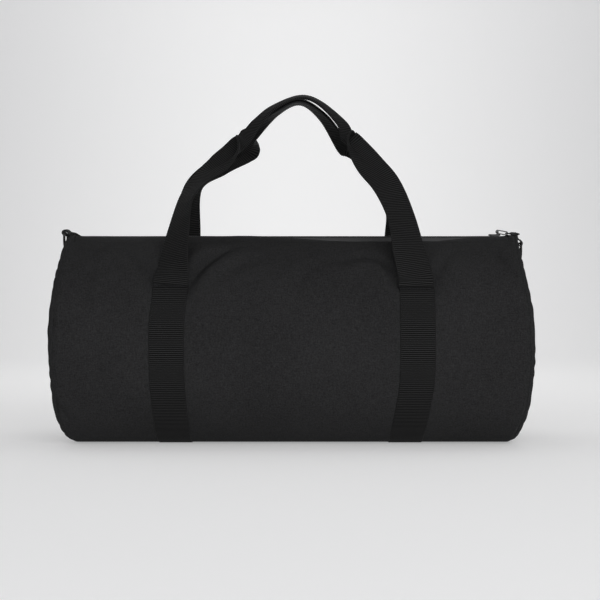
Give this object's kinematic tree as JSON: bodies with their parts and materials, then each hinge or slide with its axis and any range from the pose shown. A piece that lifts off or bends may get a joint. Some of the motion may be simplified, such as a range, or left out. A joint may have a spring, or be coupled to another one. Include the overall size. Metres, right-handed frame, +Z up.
{
  "type": "duffel bag",
  "caption": "Barrel duffel bag in black canvas with a long top zip, webbing carrying handles on straps sewn round the barrel, and a D-ring at each end for a shoulder strap.",
  "frame": {"origin": "on the floor under the middle of the bag", "axes": "+X along the bag towards the end where the closed zip's slider stops, front face towards -Y, +Z up"},
  "size_m": [0.5654, 0.2604, 0.417],
  "materials": {
    "canvas": "matte black heathered canvas",
    "webbing": "black ribbed webbing",
    "tape": "black woven tape",
    "thread": "black sewing thread",
    "coil": "black nylon zip coil",
    "metal": "black-plated metal, satin"
  },
  "bodies": {
    "barrel": {"body_panel": "canvas", "left_end_panel": "canvas", "right_end_panel": "canvas", "left_seam_binding": "tape", "right_seam_binding": "tape", "left_strap": "webbing", "right_strap": "webbing", "strap_stitching": "thread", "left_zip_end": "tape", "right_zip_end": "tape", "zip_stops": "metal", "left_ring_tab": "webbing", "right_ring_tab": "webbing"},
    "front_flap": {"front_mouth_flap": "canvas", "front_zip_tape": "tape", "front_zip_coil": "coil"},
    "back_flap": {"back_mouth_flap": "canvas", "back_zip_tape": "tape", "back_zip_coil": "coil"},
    "front_handle": {"front_handle": "webbing"},
    "back_handle": {"back_handle": "webbing"},
    "slider": {"zip_slider": "metal"},
    "link": {"puller_link": "metal"},
    "tab": {"pull_tab": "metal"},
    "left_ring": {"left_d_ring": "metal"},
    "right_ring": {"right_d_ring": "metal"}
  },
  "joints": [
    {"name": "front_flap_fold", "type": "hinge", "parent": "barrel", "child": "front_flap", "pos_m": [0, -0.05, 0.23674], "axis": [1, 0, 0], "range_deg": [0, 75]},
    {"name": "back_flap_fold", "type": "hinge", "parent": "barrel", "child": "back_flap", "pos_m": [0, 0.05, 0.23674], "axis": [-1, 0, 0], "range_deg": [0, 75]},
    {"name": "front_handle_swing", "type": "hinge", "parent": "barrel", "child": "front_handle", "pos_m": [0, -0.11257, 0.187], "axis": [1, 0, 0], "range_deg": [0, 150]},
    {"name": "back_handle_swing", "type": "hinge", "parent": "barrel", "child": "back_handle", "pos_m": [0, 0.11257, 0.187], "axis": [-1, 0, 0], "range_deg": [0, 150]},
    {"name": "zip_slide", "type": "slide", "parent": "barrel", "child": "slider", "axis": [-1, 0, 0], "range_m": [0, 0.492]},
    {"name": "link_swing", "type": "hinge", "parent": "slider", "child": "link", "pos_m": [0.25, 0, 0.2532], "axis": [0, -1, 0], "range_deg": [0, 150]},
    {"name": "tab_swing", "type": "hinge", "parent": "link", "child": "tab", "pos_m": [0.26034, 0, 0.25138], "axis": [0, -1, 0], "range_deg": [0, 40]},
    {"name": "left_ring_swing", "type": "hinge", "parent": "barrel", "child": "left_ring", "pos_m": [-0.27892, 0.014, 0.25315], "axis": [0, 1, 0], "range_deg": [0, 180]},
    {"name": "right_ring_swing", "type": "hinge", "parent": "barrel", "child": "right_ring", "pos_m": [0.27893, 0.014, 0.2396], "axis": [0, -1, 0], "range_deg": [0, 180]}
  ]
}
